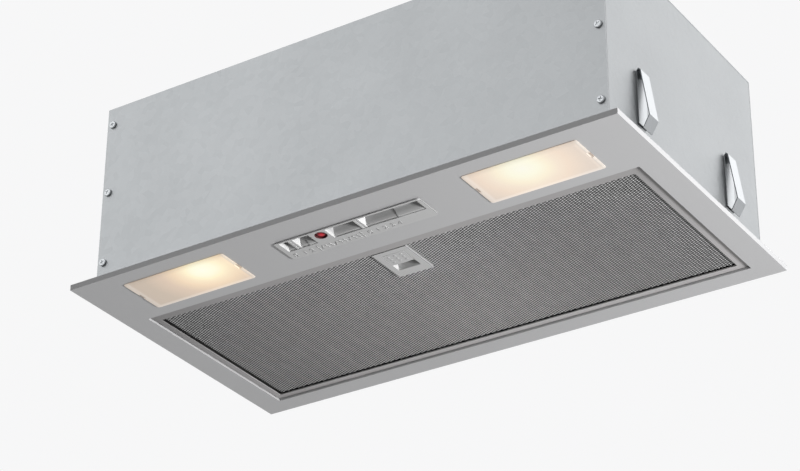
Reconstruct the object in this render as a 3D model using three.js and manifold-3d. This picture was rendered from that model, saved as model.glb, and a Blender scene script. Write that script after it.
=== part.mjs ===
// Built-in range hood for a cut-out in the bottom board of a wall cabinet.
// Millimetres, +Z up, front towards -Y. The origin is the middle of the base plate, on the
// plane of its return flange, which bears on the underside of the cabinet.
import * as THREE from 'three';
import { mergeVertices } from 'three/addons/utils/BufferGeometryUtils.js';
import Module from 'manifold-3d';

const wasm = await Module();
wasm.setup();

// ---------------------------------------------------------------- driving dimensions
const sheet = 1; // sheet metal
const seat = 0.3; // clearance between pieces that rest on or fit in each other

const plateWidth = 520;
const plateDepth = 288;
const plateDrop = 5;
const returnFlange = 8;
const bandSide = 23.5; // plate edge to the filter
const bandFront = 76.8;
const bandRear = 19.8;

const bodyInset = 15; // plate edge to the body
const bodyHeight = 175;
const footFlange = 6;
const panelFlange = 12;

const filterThickness = 10;
const filterRecess = 2;
const filterGap = 0.5;
const borderLeft = 5;
const borderRight = 8.8;
const borderFront = 10.2;
const borderRear = 6;
const borderBack = 6;
const faceMeshThickness = 0.6;
const backMeshThickness = 0.7;
const layerSheet = 0.5;
const layerHeight = 2.6;
const layerPitch = 14;
const tabWidth = 24;
const tabSpacing = 300;
const tabReach = 3.2;
const hingeInset = 2.5;
const hingeRise = 2;

const latchWidth = 33;
const latchDepth = 42.5;
const latchHeight = 9;
const latchWall = 1.5;
const latchSetback = 1.4;
const padWidth = 20.7;
const padDepth = 17.4;
const padInset = 5.6;
const fingerRecess = 9.6;
const fingerRecessHeight = 6;
const fingerRecessDraft = 2.6;
const latchTravel = 6;
const tongueWidth = 12;
const tongueThickness = 2;
const tongueReach = 4;
const springWire = 0.35;
const springRadius = 1.1;
const springTurns = 8;
const keeperWidth = 24;

const bayWallInset = 8; // bay wall to the filter
const bayHeight = 60;
const bayLip = 12;
const ledgeWidth = 14;

const controlInset = 40.25; // plate's front edge to the row of switches
const lampRowInset = 39.5; // plate's front edge to the row of lamps
const lampInset = 95; // plate's side edge to the middle of a lamp
const lampCoverWidth = 102;
const lampCoverDepth = 47.6;
const lampCoverProud = 1.5;
const lampCoverCorner = 2;
const lampCoverRim = 4.5;
const lampCoverEdge = 0.4;
const lampOverlap = 5.6;
const lampSkirt = 6;
const pryWidth = 8;
const pryDepth = 2.5;
const trayHeight = 42;
const trayMargin = 2;
const trayFlange = 4;
const bulbHeight = 24;
const bulbRadius = 13;
const bulbLength = 72;
const bulbBaseX = 44;
const bulbGlassWall = 1;
const bulbCapRadius = 6.9;
const bulbCapLength = 25;
const holderRadius = 14;
const holderLength = 30;

const bezelDepth = 29.6;
const bezelMargin = 4.8; // bezel's end to its first slot
const bezelProud = 1.2;
const bezelOverlap = 0.6;
const bezelHeight = 6.8;
const slotDepth = 14.85;
const slotInset = 1.7; // bezel's front edge to the slots
const slotTaper = 3;
const slotClear = 0.5; // knob at the end of its travel to the slot's floor end
const slotFloor = [5.4, 1]; // below the bezel's face, at the slot's front and rear
const slotShelf = [4.2, 0.5]; // the same beyond the step that stops the knob
const lightShelf = 7.9;
const speedShelf = 25.8;
const rampStart = 7.7; // behind the slot's front edge
const rampEnd = 13;
const lightKnobX = -55;
const speedKnobX = 8.5;
const lightTravel = [-2, 5];
const speedTravel = [-21, 27];
const slitInset = 1;
const stemSize = 4;
const stemHeight = 6;
const headOverhang = 1.5;
const headThickness = 1.2;
const knobCrest = 4.6;
const knobBase = 9.4;
const knobRecess = 0.2;
const baseWall = 1.5;
const baseFloor = 2;
const baseMargin = 3;
const switchWall = 3;
const switchHeight = 10;
const lensX = -28;
const lensInset = 5.9; // behind the slot's front edge
const lensRadius = 4.8;
const lensRecess = 0.4;
const indicatorRadius = 3;

const fanOffset = 18.5; // fan forward of the filter's middle
const fanLift = 7.5; // fan above the middle of the room between filter and top
const impellerRadius = 62;
const impellerWidth = 80;
const impellerSheet = 2;
const bladeDepth = 12;
const bladeCount = 30;
const tongueGap = 4;
const scrollGrowth = 20;
const scrollStart = Math.PI / 3;
const scrollWidth = 92;
const scrollWall = 2;
const mouthFront = 36;
const eyeRadius = 50;
const eyeLip = 4;
const mouthFlange = 120;
const shaftRadius = 4;
const motorRadius = 37;
const motorLength = 42;
const mountCircle = 58;
const rubberRadius = 6;
const rubberLength = 4;

const outletInset = 69; // body's rear to the collar's axis
const ductDiameter = 120;
const collarHeight = 45;
const collarWall = 2;
const collarFlange = 134;
const stopWidth = 5;
const stopHeight = 10;
const flapThickness = 1.2;
const flapClearance = 1.5;
const pinRadius = 1.5;
const knuckleRadius = 3;

const terminalInsetX = 75; // body's left side to the terminal box's middle
const terminalInsetY = 59; // body's rear to the terminal box's middle
const terminalWidth = 62;
const terminalDepth = 42;
const terminalHeight = 28;
const terminalWall = 2;
const glandRadius = 8;
const glandBore = 4;
const glandFlange = 4;
const glandHeight = 12;
const capacitorInset = 95; // body's left side to the capacitor's middle
const capacitorRadius = 15;
const capacitorLength = 52;
const capacitorFoot = 8;
const capacitorClipWidth = 12;
const clipInset = 54; // body's front or rear to a clip's middle
const clipWidth = 14;
const clipLeaf = 0.8;
const clipHeight = 73;
const clipBow = 10;
const boardThickness = 18;

// ---------------------------------------------------------------- derived levels
const faceZ = -plateDrop;
const skinTop = faceZ + sheet;
const footZ = skinTop + seat;
const bodyWidth = plateWidth - 2 * bodyInset;
const bodyDepth = plateDepth - 2 * bodyInset;
const hw = bodyWidth / 2;
const hd = bodyDepth / 2;
const filterWidth = plateWidth - 2 * bandSide;
const filterDepth = plateDepth - bandFront - bandRear;
const filterCentreY = (bandFront - bandRear) / 2;
const openingWidth = filterWidth + 2 * filterGap;
const openingDepth = filterDepth + 2 * filterGap;
const filterZ = faceZ + filterRecess;
const filterTop = filterZ + filterThickness;
const hingeY = filterCentreY + filterDepth / 2 - hingeInset;
const tongueBottom = latchWall + seat; // above the filter's lower face
const bayWallY = filterCentreY - filterDepth / 2 - bayWallInset;
const controlRowY = -plateDepth / 2 + controlInset;
const lampRowY = -plateDepth / 2 + lampRowInset;
const lampX = plateWidth / 2 - lampInset;
const lampHoleWidth = lampCoverWidth - 2 * lampOverlap;
const lampHoleDepth = lampCoverDepth - 2 * lampOverlap;
const knobStop = knobBase / 2 + slotClear;
const lightStep = lightKnobX + lightTravel[1] + knobStop;
const speedStep = speedKnobX + speedTravel[1] + knobStop;
const lightSlot = [lightKnobX + lightTravel[0] - knobStop - slotTaper, lightStep + lightShelf];
const speedSlot = [speedKnobX + speedTravel[0] - knobStop - slotTaper, speedStep + speedShelf];
const bezelWidth = 2 * (bezelMargin - lightSlot[0]);
const bezelHoleWidth = bezelWidth - 2 * bezelOverlap;
const bezelHoleDepth = bezelDepth - 2 * bezelOverlap;
const fanY = filterCentreY - fanOffset;
const fanZ = (bodyHeight - sheet + filterTop) / 2 + fanLift;
const outletY = hd - outletInset;
const ductRadius = ductDiameter / 2;
const ductBore = ductRadius - collarWall;
const terminalX = -hw + terminalInsetX;
const terminalY = hd - terminalInsetY;
const capacitorX = -hw + capacitorInset;

// ---------------------------------------------------------------- solid helpers
// Manifold solid of a closed three.js geometry.
function toSolid(geometry) {
  const bare = geometry.clone();
  bare.deleteAttribute('normal');
  bare.deleteAttribute('uv');
  const merged = mergeVertices(bare);
  return new wasm.Manifold(new wasm.Mesh({
    numProp: 3,
    vertProperties: merged.attributes.position.array,
    triVerts: new Uint32Array(merged.index.array),
  }));
}

function toGeometry(solid) {
  const mesh = solid.getMesh();
  const geometry = new THREE.BufferGeometry();
  geometry.setAttribute('position', new THREE.BufferAttribute(mesh.vertProperties, 3));
  geometry.setIndex(new THREE.BufferAttribute(mesh.triVerts, 1));
  geometry.computeVertexNormals();
  return geometry;
}

// Block between two opposite corners, in any order.
function block(a, b) {
  const size = a.map((value, i) => Math.abs(b[i] - value));
  const middle = a.map((value, i) => (b[i] + value) / 2);
  return toSolid(new THREE.BoxGeometry(...size).translate(...middle));
}

// Block centred on (x, y) between two heights.
function slab(width, depth, z0, z1, x = 0, y = 0) {
  return block([x - width / 2, y - depth / 2, z0], [x + width / 2, y + depth / 2, z1]);
}

function outline(points) {
  return new THREE.Shape(points.map(([u, v]) => new THREE.Vector2(u, v)));
}

function sweep(shape, length, options = {}) {
  return new THREE.ExtrudeGeometry(shape, { depth: length, bevelEnabled: false, ...options });
}

// Prism of an outline in (y, z), from x0 to x1.
function alongX(points, x0, x1) {
  const turn = new THREE.Matrix4().set(0, 0, 1, x0, 1, 0, 0, 0, 0, 1, 0, 0, 0, 0, 0, 1);
  return toSolid(sweep(outline(points), x1 - x0).applyMatrix4(turn));
}

// Prism of an outline in (x, z), from y0 to y1.
function alongY(points, y0, y1) {
  const turn = new THREE.Matrix4().set(1, 0, 0, 0, 0, 0, -1, y1, 0, 1, 0, 0, 0, 0, 0, 1);
  return toSolid(sweep(outline(points), y1 - y0).applyMatrix4(turn));
}

function upright(shape, z0, z1, options = {}) {
  return toSolid(sweep(shape, z1 - z0, options).translate(0, 0, z0));
}

function roundedRectangle(width, depth, radius) {
  const shape = new THREE.Shape();
  const x = width / 2 - radius;
  const y = depth / 2 - radius;
  shape.absarc(x, -y, radius, -Math.PI / 2, 0);
  shape.absarc(x, y, radius, 0, Math.PI / 2);
  shape.absarc(-x, y, radius, Math.PI / 2, Math.PI);
  shape.absarc(-x, -y, radius, Math.PI, 1.5 * Math.PI);
  return shape;
}

// Outline of a strip of even thickness that follows a centre line with mitred corners.
function strip(line, thickness) {
  const points = line.map(([u, v]) => new THREE.Vector2(u, v));
  const side = (sign) => points.map((point, i) => {
    const before = points[Math.max(i - 1, 0)];
    const after = points[Math.min(i + 1, points.length - 1)];
    const a = (i > 0 ? point.clone().sub(before) : after.clone().sub(point)).normalize();
    const b = (i < points.length - 1 ? after.clone().sub(point) : a.clone()).normalize();
    const normal = new THREE.Vector2(-a.y - b.y, a.x + b.x).normalize();
    const reach = (sign * thickness) / 2 / Math.max(normal.dot(new THREE.Vector2(-a.y, a.x)), 0.3);
    return [point.x + normal.x * reach, point.y + normal.y * reach];
  });
  return [...side(1), ...side(-1).reverse()];
}

// Solid of revolution about Z of a closed profile in (r, z), anticlockwise.
function turned(profile, segments = 32) {
  const points = [...profile, profile[0]].map(([r, z]) => new THREE.Vector2(r, z));
  return toSolid(new THREE.LatheGeometry(points, segments).rotateX(Math.PI / 2));
}

function rod(radius, z0, z1, segments = 24) {
  const geometry = new THREE.CylinderGeometry(radius, radius, z1 - z0, segments);
  return toSolid(geometry.rotateX(Math.PI / 2).translate(0, 0, (z0 + z1) / 2));
}

// The same solid turned so that its Z axis becomes +X.
function layOnX(solid) {
  return solid.rotate([0, 90, 0]);
}

function rodX(radius, x0, x1, y = 0, z = 0, segments = 24) {
  return layOnX(rod(radius, x0, x1, segments)).translate([0, y, z]);
}

function joined(solids) {
  return solids.reduce((whole, solid) => whole.add(solid));
}

function cut(solid, tools) {
  return solid.subtract(joined(tools));
}

// ---------------------------------------------------------------- materials
function finish(color, roughness, metalness) {
  return { color, roughness, metalness };
}

const paint = finish(0xa6a6a8, 0.42, 0.35);
const galvanised = finish(0xb9bdc0, 0.45, 0.85);
const aluminium = finish(0xc9cbcd, 0.4, 0.9);
const meshGrey = finish(0x8f9092, 0.45, 0.8);
const trimGrey = finish(0xb4b4b4, 0.5, 0);
const blackPlastic = finish(0x2b2c2e, 0.55, 0);
const switchPlastic = finish(0xe6e4dc, 0.5, 0);
const frosted = finish(0xf6efd9, 0.4, 0);
const whiteEnamel = finish(0xf2f0ea, 0.3, 0.1);
const ceramic = finish(0xeeebe2, 0.6, 0);
const glass = finish(0xfff3d6, 0.1, 0);
const brass = finish(0xc8a862, 0.35, 0.9);
const steel = finish(0x8d9094, 0.35, 0.9);
const rubber = finish(0x1e1e1f, 0.85, 0);
const redLens = finish(0xc0282c, 0.2, 0);

function part(group, name, solid, look) {
  const mesh = new THREE.Mesh(toGeometry(solid), new THREE.MeshStandardMaterial(look));
  mesh.name = name;
  group.add(mesh);
  return mesh;
}

function subgroup(parent, x, y, z) {
  const group = new THREE.Group();
  group.position.set(x, y, z);
  parent.add(group);
  return group;
}

const hood = new THREE.Group();

// ---------------------------------------------------------------- base plate
// A shallow pan: skin, turned-up walls and a return flange, with turned-up lips round the
// filter opening. The front lip stands taller at its middle, where the latch tongue hooks on.
function basePlate() {
  const pan = slab(plateWidth, plateDepth, faceZ, 0);
  const pocket = slab(plateWidth - 2 * sheet, plateDepth - 2 * sheet, skinTop, -sheet);
  const mouthWidth = plateWidth - 2 * returnFlange;
  const mouthDepth = plateDepth - 2 * returnFlange;
  const mouth = slab(mouthWidth, mouthDepth, -2 * sheet, sheet);
  const lipWidth = openingWidth + 2 * sheet;
  const lipDepth = openingDepth + 2 * sheet;
  const lips = slab(lipWidth, lipDepth, faceZ, filterZ, 0, filterCentreY);
  const lipFront = filterCentreY - openingDepth / 2 - sheet;
  const keeperTop = filterZ + tongueBottom - seat;
  const keeper = block([-keeperWidth / 2, lipFront, faceZ], [keeperWidth / 2, lipFront + sheet, keeperTop]);
  const opening = slab(openingWidth, openingDepth, 2 * faceZ, plateDrop, 0, filterCentreY);
  const lampHole = (x) => slab(lampHoleWidth, lampHoleDepth, 2 * faceZ, 0, x, lampRowY);
  const bezelHole = slab(bezelHoleWidth, bezelHoleDepth, 2 * faceZ, 0, 0, controlRowY);
  const tray = joined([cut(pan, [pocket, mouth]), lips, keeper]);
  return cut(tray, [opening, lampHole(-lampX), lampHole(lampX), bezelHole]);
}

part(hood, 'base_plate', basePlate(), paint);

// ---------------------------------------------------------------- body
// Front, top and rear are one folded sheet with foot flanges that stand on the plate.
function bodyShell() {
  const inner = hd - sheet;
  const footTop = footZ + sheet;
  const profile = [
    [-hd - footFlange, footZ], [-inner, footZ], [-inner, bodyHeight - sheet],
    [inner, bodyHeight - sheet], [inner, footZ], [hd + footFlange, footZ],
    [hd + footFlange, footTop], [hd, footTop], [hd, bodyHeight],
    [-hd, bodyHeight], [-hd, footTop], [-hd - footFlange, footTop],
  ];
  const shell = alongX(profile, -hw, hw);
  const outlet = rod(ductBore, bodyHeight - 2 * sheet, bodyHeight + sheet, 48).translate([0, outletY, 0]);
  const cableHole = rod(glandRadius + seat, bodyHeight - 2 * sheet, bodyHeight + sheet);
  return cut(shell, [outlet, cableHole.translate([terminalX, terminalY, 0])]);
}

// Each side is a shallow pan set into the shell, with a ledge that stops the filter.
function sidePanel(side) {
  const reach = hd - sheet - seat;
  const top = bodyHeight - sheet - seat;
  const outer = side * hw;
  const inner = side * (hw - sheet);
  const flange = side * (hw - panelFlange);
  const pieces = [
    block([outer, -reach, footZ], [inner, reach, top]),
    block([outer, -reach, footZ], [flange, -reach + sheet, top]),
    block([outer, reach - sheet, footZ], [flange, reach, top]),
    block([outer, -reach, top - sheet], [flange, reach, top]),
    block([inner, -reach, footZ], [side * (hw + footFlange), reach, footZ + sheet]),
  ];
  const ledgeZ = filterTop + seat;
  const ledgeEnds = [bayWallY + sheet / 2 + seat, hingeY - hingeInset];
  pieces.push(block([outer, ledgeEnds[0], ledgeZ], [side * (hw - ledgeWidth), ledgeEnds[1], ledgeZ + sheet]));
  return joined(pieces);
}

// The bay cover shuts the lamps and switches off from the air, and stops the filter's front.
function bayCover() {
  const front = -hd + 2 * sheet + 2 * seat + sheet / 2;
  const top = bayHeight + sheet / 2;
  const line = [
    [bayWallY - footFlange, footZ + sheet / 2], [bayWallY, footZ + sheet / 2], [bayWallY, top],
    [front, top], [front, top - bayLip],
  ];
  const halfWidth = hw - sheet - seat;
  const ledgeX = hw - ledgeWidth - seat;
  const ledgeZ = filterTop + seat;
  const ledgeRear = filterCentreY - filterDepth / 2 + borderFront / 2;
  const ledge = block([-ledgeX, bayWallY, ledgeZ], [ledgeX, ledgeRear, ledgeZ + sheet]);
  return alongX(strip(line, sheet), -halfWidth, halfWidth).add(ledge);
}

part(hood, 'body_shell', bodyShell(), galvanised);
part(hood, 'side_panel_left', sidePanel(-1), galvanised);
part(hood, 'side_panel_right', sidePanel(1), galvanised);
part(hood, 'bay_cover', bayCover(), galvanised);

// Bent spring clip on the body's side: its catch sits on the cabinet board.
function springClip() {
  const catchZ = boardThickness + clipLeaf;
  const wall = clipLeaf / 2 + seat;
  const fold = 2 * clipLeaf;
  const line = [
    [wall, catchZ + clipBow / 2], [wall, clipHeight - fold], [wall + fold, clipHeight],
    [wall + 2 * fold, clipHeight - fold], [clipBow, catchZ + clipBow], [0.42 * clipBow, catchZ],
  ];
  return alongY(strip(line, clipLeaf), -clipWidth / 2, clipWidth / 2);
}

for (const [name, x, y, turn] of [
  ['left_front', -hw, clipInset - hd, Math.PI], ['left_rear', -hw, hd - clipInset, Math.PI],
  ['right_front', hw, clipInset - hd, 0], ['right_rear', hw, hd - clipInset, 0],
]) {
  const place = subgroup(hood, x, y, 0);
  place.rotation.z = turn;
  part(place, `spring_clip_${name}`, springClip(), steel);
}

// ---------------------------------------------------------------- grease filter
// Filter coordinates: origin at the middle of the frame's lower face.
const filter = subgroup(hood, 0, filterCentreY, filterZ);
const pocketWidth = filterWidth - 2 * sheet - 2 * seat;
const pocketDepth = filterDepth - 2 * sheet - 2 * seat;
const latchFront = -filterDepth / 2 + borderFront + latchSetback;

function filterFrame() {
  const whole = slab(filterWidth, filterDepth, 0, filterThickness);
  const pocket = slab(filterWidth - 2 * sheet, filterDepth - 2 * sheet, sheet, filterThickness - sheet);
  const windowFront = -filterDepth / 2 + borderFront;
  const windowRear = filterDepth / 2 - borderRear;
  const window = block([borderLeft - filterWidth / 2, windowFront, -sheet],
    [filterWidth / 2 - borderRight, windowRear, 2 * sheet]);
  const backWindow = slab(filterWidth - 2 * borderBack, filterDepth - 2 * borderBack,
    filterThickness - 2 * sheet, filterThickness + sheet);
  const slotX = tongueWidth / 2 + seat;
  const tongueSlot = block([-slotX, -filterDepth, tongueBottom - seat],
    [slotX, -filterDepth / 2 + 2 * sheet, tongueBottom + tongueThickness + seat]);
  const tab = (x) => block([x - tabWidth / 2, filterDepth / 2 - sheet, seat],
    [x + tabWidth / 2, filterDepth / 2 + tabReach, seat + sheet]);
  return cut(whole, [pocket, window, backWindow, tongueSlot]).add(tab(-tabSpacing / 2)).add(tab(tabSpacing / 2));
}

// Room for the latch, and for its tongue on the way to the frame, through every mesh layer.
function latchRoom() {
  const body = block([-latchWidth / 2 - seat, latchFront - seat, -filterThickness],
    [latchWidth / 2 + seat, latchFront + latchDepth + seat, 2 * filterThickness]);
  const channel = block([-tongueWidth / 2 - 2 * seat, -filterDepth, -filterThickness],
    [tongueWidth / 2 + 2 * seat, latchFront, 2 * filterThickness]);
  return body.add(channel);
}

// Crimped layer: a triangular wave of thin sheet, its crests across X or across Y.
function crimpedLayer(span, width, z0, across) {
  const waves = Math.round(span / layerPitch);
  const low = z0 + layerSheet / 2;
  const high = z0 + layerHeight - layerSheet / 2;
  const line = [];
  for (let i = 0; i <= 2 * waves; i += 1) {
    line.push([-span / 2 + (i * span) / (2 * waves), i % 2 ? high : low]);
  }
  const profile = strip(line, layerSheet * 0.9);
  return across === 'x' ? alongY(profile, -width / 2, width / 2) : alongX(profile, -width / 2, width / 2);
}

const faceMeshZ = sheet + seat;
const lowerLayerZ = faceMeshZ + faceMeshThickness + seat;
const upperLayerZ = lowerLayerZ + layerHeight + seat;
const backMeshZ = filterThickness - sheet - seat - backMeshThickness;

part(filter, 'filter_frame', filterFrame(), paint);
part(filter, 'filter_face_mesh', cut(slab(pocketWidth, pocketDepth, faceMeshZ,
  faceMeshZ + faceMeshThickness), [latchRoom()]), meshGrey);
part(filter, 'filter_layer_lower', cut(crimpedLayer(pocketWidth, pocketDepth, lowerLayerZ, 'x'),
  [latchRoom()]), aluminium);
part(filter, 'filter_layer_upper', cut(crimpedLayer(pocketDepth, pocketWidth, upperLayerZ, 'y'),
  [latchRoom()]), aluminium);
part(filter, 'filter_back_mesh', cut(slab(pocketWidth, pocketDepth, backMeshZ,
  backMeshZ + backMeshThickness), [latchRoom()]), meshGrey);

// Latch coordinates: origin at the middle of the latch's front edge, on its lower face.
const latch = subgroup(filter, 0, latchFront, 0);
const padFront = padInset;
const padRear = padInset + padDepth;
const recessRear = padRear + fingerRecess;
const recessX = padWidth / 2 + seat;
const springX = (recessX + latchWall / 2 + latchWidth / 2 - latchWall) / 2;
const earRear = padRear - latchTravel - 1.1;

function latchHousing() {
  const inX = latchWidth / 2 - latchWall;
  const shell = block([-latchWidth / 2, 0, 0], [latchWidth / 2, latchDepth, latchHeight]);
  const thin = latchWall / 2;
  const cavity = block([-inX, latchWall, latchWall], [inX, latchDepth - latchWall, latchHeight - latchWall]);
  const window = block([-recessX, padFront - seat, -latchWall], [recessX, padRear + thin, 2 * latchWall]);
  const tongueX = tongueWidth / 2 + seat;
  const tongueSlot = block([-tongueX, -latchWall, tongueBottom - seat],
    [tongueX, 2 * latchWall, tongueBottom + tongueThickness + seat]);
  const recessWalls = block([-recessX - thin, padRear, latchWall * 0.8],
    [recessX + thin, recessRear + thin, fingerRecessHeight + thin]);
  const recessHollow = alongX([
    [padRear - latchWall, -latchWall], [recessRear, -latchWall], [recessRear, 0],
    [recessRear - fingerRecessDraft, fingerRecessHeight], [padRear - latchWall, fingerRecessHeight],
  ], -recessX, recessX);
  const recessTie = block([-recessX, recessRear, fingerRecessHeight],
    [recessX, latchDepth - latchWall / 2, fingerRecessHeight + thin]);
  return joined([cut(shell, [cavity, window, tongueSlot, recessHollow]),
    cut(recessWalls, [recessHollow]), recessTie]);
}

// Slider: dotted thumb pad, base with two ears for the springs, and the chamfered tongue.
function latchSlider() {
  const baseTop = tongueBottom + tongueThickness;
  const earX = latchWidth / 2 - latchWall - seat;
  const tip = -(latchFront + filterDepth / 2) - tongueReach;
  const tongue = alongX([
    [tip, tongueBottom], [padFront, tongueBottom], [padFront, baseTop],
    [tip + tongueThickness, baseTop], [tip, tongueBottom + tongueThickness / 3],
  ], -tongueWidth / 2, tongueWidth / 2);
  const pieces = [
    block([-padWidth / 2, padFront, 0], [padWidth / 2, padRear, baseTop]),
    block([-earX, latchWall + 2 * seat, tongueBottom], [earX, earRear, baseTop]),
    tongue,
  ];
  const dotPitch = 6;
  for (let row = -1; row <= 1; row += 1) {
    for (let column = -1; column <= 1; column += 1) {
      const dot = rod(1, -seat, latchWall, 8);
      pieces.push(dot.translate([column * dotPitch, (padFront + padRear) / 2 + row * 0.75 * dotPitch, 0]));
    }
  }
  return joined(pieces);
}

// Compression spring along Y, a wire swept on a helix.
class HelixCurve extends THREE.Curve {
  constructor(radius, turns, length) {
    super();
    this.radius = radius;
    this.turns = turns;
    this.length = length;
  }

  getPoint(t, target = new THREE.Vector3()) {
    const angle = 2 * Math.PI * this.turns * t;
    return target.set(this.radius * Math.cos(angle), this.length * t, this.radius * Math.sin(angle));
  }
}

function latchSpring() {
  const length = latchDepth - latchWall - earRear - 2 * seat - 2 * springWire;
  const path = new HelixCurve(springRadius, springTurns, length);
  const wire = new THREE.Shape().absarc(0, 0, springWire, 0, 2 * Math.PI);
  return toSolid(new THREE.ExtrudeGeometry(wire, {
    steps: springTurns * 6, curveSegments: 3, bevelEnabled: false, extrudePath: path,
  }));
}

part(latch, 'latch_housing', latchHousing(), trimGrey);
part(latch, 'latch_slider', latchSlider(), trimGrey);
for (const [name, side] of [['left', -1], ['right', 1]]) {
  const springZ = tongueBottom + springRadius + springWire;
  const place = subgroup(latch, side * springX, earRear + seat + springWire, springZ);
  part(place, `latch_spring_${name}`, latchSpring(), steel);
}

// ---------------------------------------------------------------- lamps
// Lamp coordinates: origin at the middle of the lamp opening on the plate's face, +X outward.
function lampCover() {
  const layer = (inset, depth) => upright(
    roundedRectangle(lampCoverWidth - 2 * inset, lampCoverDepth - 2 * inset, lampCoverCorner),
    -seat - depth, -seat, { curveSegments: 4 });
  const proud = lampCoverProud - seat;
  const panel = wasm.Manifold.hull([layer(0, lampCoverEdge), layer(0.3 * lampCoverRim, 0.75 * proud),
    layer(lampCoverRim, proud)]);
  const skirtWidth = lampHoleWidth - 2 * seat;
  const skirtDepth = lampHoleDepth - 2 * seat;
  const skirt = slab(skirtWidth, skirtDepth, -lampCoverProud / 2, lampSkirt);
  const hollow = slab(skirtWidth - 3, skirtDepth - 3, -seat, 2 * lampSkirt);
  const notch = (side) => block([side * (lampCoverWidth / 2 - pryDepth), -pryWidth / 2, -2 * lampCoverProud],
    [side * lampCoverWidth, pryWidth / 2, -2 * seat]);
  return cut(panel.add(cut(skirt, [hollow])), [notch(-1), notch(1)]);
}

function lampTray() {
  const width = lampHoleWidth + 2 * trayMargin;
  const depth = lampHoleDepth + 2 * trayMargin;
  const low = sheet + seat;
  const box = slab(width + 2 * sheet, depth + 2 * sheet, low, low + trayHeight);
  const flange = slab(width + 2 * (sheet + trayFlange), depth + 2 * sheet, low, low + sheet);
  const hollow = slab(width, depth, 0, low + trayHeight - sheet);
  const holderHole = rodX(holderRadius + seat, width / 4, width, 0, bulbHeight);
  return cut(box.add(flange), [hollow, holderHole]);
}

// Open-necked glass envelope, its tip towards the middle of the hood.
function bulbGlass() {
  const neck = bulbCapRadius - 1.5;
  const shoulder = 8;
  const straight = bulbLength - bulbRadius;
  const outer = [[neck, 0], [bulbRadius, shoulder], [bulbRadius, straight]];
  const inner = [[bulbRadius - bulbGlassWall, straight], [bulbRadius - bulbGlassWall, shoulder + 1]];
  inner.push([neck - bulbGlassWall, 0]);
  const dome = (radius) => {
    const points = [];
    for (let i = 1; i < 5; i += 1) {
      const angle = (i * Math.PI) / 10;
      points.push([radius * Math.cos(angle), straight + radius * Math.sin(angle)]);
    }
    return [...points, [0, straight + radius]];
  };
  return layOnX(turned([...outer, ...dome(bulbRadius), ...dome(bulbRadius - bulbGlassWall).reverse(), ...inner], 16))
    .mirror([1, 0, 0]).translate([bulbBaseX, 0, bulbHeight]);
}

function bulbCap() {
  const tip = 3;
  const cap = turned([[0, seat], [bulbCapRadius, seat], [bulbCapRadius, bulbCapLength - 2 * tip],
    [tip, bulbCapLength - tip], [tip, bulbCapLength], [0, bulbCapLength]], 16);
  return layOnX(cap).translate([bulbBaseX, 0, bulbHeight]);
}

function lampholder() {
  const start = bulbBaseX + 2;
  const body = rodX(holderRadius, start, start + holderLength, 0, bulbHeight, 28);
  const socket = rodX(bulbCapRadius + seat, start - 1, bulbBaseX + bulbCapLength + seat, 0, bulbHeight, 20);
  return body.subtract(socket);
}

for (const [name, side, turn] of [['left', -1, Math.PI], ['right', 1, 0]]) {
  const lamp = subgroup(hood, side * lampX, lampRowY, faceZ);
  lamp.rotation.z = turn;
  part(lamp, `lamp_cover_${name}`, lampCover(), frosted);
  part(lamp, `lamp_tray_${name}`, lampTray(), whiteEnamel);
  part(lamp, `bulb_glass_${name}`, bulbGlass(), glass);
  part(lamp, `bulb_cap_${name}`, bulbCap(), brass);
  part(lamp, `lampholder_${name}`, lampholder(), ceramic);
}

// ---------------------------------------------------------------- slide switches
// Switch coordinates: origin at the middle of the bezel, on the plate's face.
const switches = subgroup(hood, 0, controlRowY, faceZ);
const bezelFace = -bezelProud;
const bezelTop = bezelHeight - bezelProud;
const headZ = bezelTop + seat;
const floorZ = headZ + headThickness + seat;
const switchZ = floorZ + baseFloor + seat;
const slotFront = -bezelDepth / 2 + slotInset;
const slotRear = slotFront + slotDepth;
const stemY = slotFront + slitInset + seat + stemSize / 2;
const stemReach = stemSize / 2 + seat;
const lensY = slotFront + lensInset;

// Room between the bezel's face and a slot's floor: level at the front, ramped up to the rear.
function slotRoom(x0, x1, [deep, shallow], gap = 0) {
  const low = bezelFace + deep - gap;
  const high = bezelFace + shallow - gap;
  return alongX([
    [slotFront + gap, 3 * bezelFace], [slotRear - gap, 3 * bezelFace], [slotRear - gap, high],
    [slotFront + rampEnd, high], [slotFront + rampStart, low], [slotFront + gap, low],
  ], x0, x1);
}

// Slot with tapered ends and a step in its floor, and the slit that guides the knob's stem.
function slotCut([x0, x1], step, knobX, [from, to]) {
  const deep = bezelFace + slotFloor[0];
  const ends = alongY([
    [x0, 3 * bezelFace], [x1, 3 * bezelFace], [x1, bezelFace], [x1 - slotTaper, deep],
    [x0 + slotTaper, deep], [x0, bezelFace],
  ], slotFront, slotRear);
  const room = slotRoom(x0, step, slotFloor).add(slotRoom(step, x1, slotShelf));
  const slit = block([knobX + from - stemReach, stemY - stemReach, 0],
    [knobX + to + stemReach, stemY + stemReach, 2 * bezelTop]);
  return ends.intersect(room).add(slit);
}

function switchBezel() {
  const flange = upright(roundedRectangle(bezelWidth, bezelDepth, 3), bezelFace, -seat, { curveSegments: 4 });
  const body = slab(bezelHoleWidth - 2 * seat, bezelHoleDepth - 2 * seat, bezelFace / 2, bezelTop);
  const lensHole = rod(lensRadius + seat, 2 * bezelFace, 2 * bezelTop).translate([lensX, lensY, 0]);
  return cut(flange.add(body), [slotCut(lightSlot, lightStep, lightKnobX, lightTravel),
    slotCut(speedSlot, speedStep, speedKnobX, speedTravel), lensHole]);
}

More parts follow.
